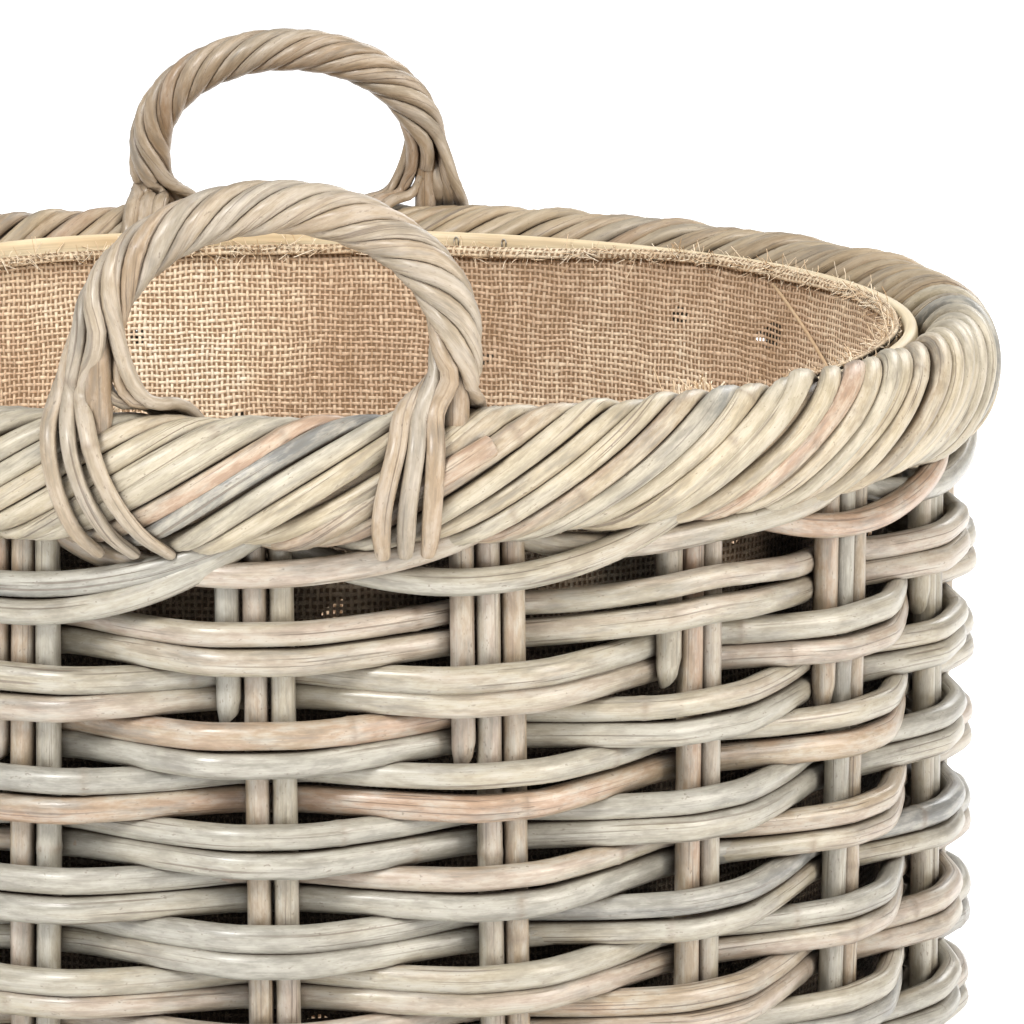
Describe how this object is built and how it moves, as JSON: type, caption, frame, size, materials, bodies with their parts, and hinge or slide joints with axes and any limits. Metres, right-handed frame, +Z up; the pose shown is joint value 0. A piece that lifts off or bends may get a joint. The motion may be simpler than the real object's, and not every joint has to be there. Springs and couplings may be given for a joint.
{
  "type": "wicker log basket",
  "caption": "Round open rattan log basket: paired canes woven round paired stakes, thick rolled rim, roped hoop handles front and back, and a hessian liner held by a pale hoop.",
  "frame": {"origin": "centre of the foot border's underside, on the floor", "axes": "+Z up along the basket's axis; the two handles stand at -Y (front) and +Y (back); +X to the right seen from the front"},
  "size_m": [0.56, 0.5722, 0.4978],
  "materials": {
    "rattan_grey": "weathered grey-washed rattan, satin",
    "rattan_border": "weathered grey-washed rattan, satin",
    "rattan_handle": "weathered rattan, warmer tan, satin",
    "peeled_hoop": "smooth peeled cane, satin",
    "hessian": "open-weave jute hessian, matt"
  },
  "bodies": {
    "root": {"stake_pair_01": "rattan_grey", "stake_pair_02": "rattan_grey", "stake_pair_03": "rattan_grey", "stake_pair_04": "rattan_grey", "stake_pair_05": "rattan_grey", "stake_pair_06": "rattan_grey", "stake_pair_07": "rattan_grey", "stake_pair_08": "rattan_grey", "stake_pair_09": "rattan_grey", "stake_pair_10": "rattan_grey", "stake_pair_11": "rattan_grey", "stake_pair_12": "rattan_grey", "stake_pair_13": "rattan_grey", "stake_pair_14": "rattan_grey", "stake_pair_15": "rattan_grey", "stake_pair_16": "rattan_grey", "stake_pair_17": "rattan_grey", "stake_pair_18": "rattan_grey", "stake_pair_19": "rattan_grey", "stake_pair_20": "rattan_grey", "weave_row_01": "rattan_grey", "weave_row_02": "rattan_grey", "weave_row_03": "rattan_grey", "weave_row_04": "rattan_grey", "weave_row_05": "rattan_grey", "weave_row_06": "rattan_grey", "weave_row_07": "rattan_grey", "weave_row_08": "rattan_grey", "weave_row_09": "rattan_grey", "weave_row_10": "rattan_grey", "weave_row_11": "rattan_grey", "weave_row_12": "rattan_grey", "weave_row_13": "rattan_grey", "weave_row_14": "rattan_grey", "weave_row_15": "rattan_grey", "weave_row_16": "rattan_grey", "weave_row_17": "rattan_grey", "border_wale": "rattan_grey", "foot_wale": "rattan_grey", "rim_border": "rattan_border", "foot_border": "rattan_border", "base_weave": "rattan_grey", "base_rib_01": "rattan_grey", "base_rib_02": "rattan_grey", "base_rib_03": "rattan_grey", "base_rib_04": "rattan_grey", "liner_hoop": "peeled_hoop", "hessian_liner": "hessian", "handle_front_bow": "rattan_handle", "handle_front_roping": "rattan_handle", "handle_front_lashing_left": "rattan_handle", "handle_front_lashing_right": "rattan_handle", "handle_back_bow": "rattan_handle", "handle_back_roping": "rattan_handle", "handle_back_lashing_left": "rattan_handle", "handle_back_lashing_right": "rattan_handle"}
  },
  "joints": []
}
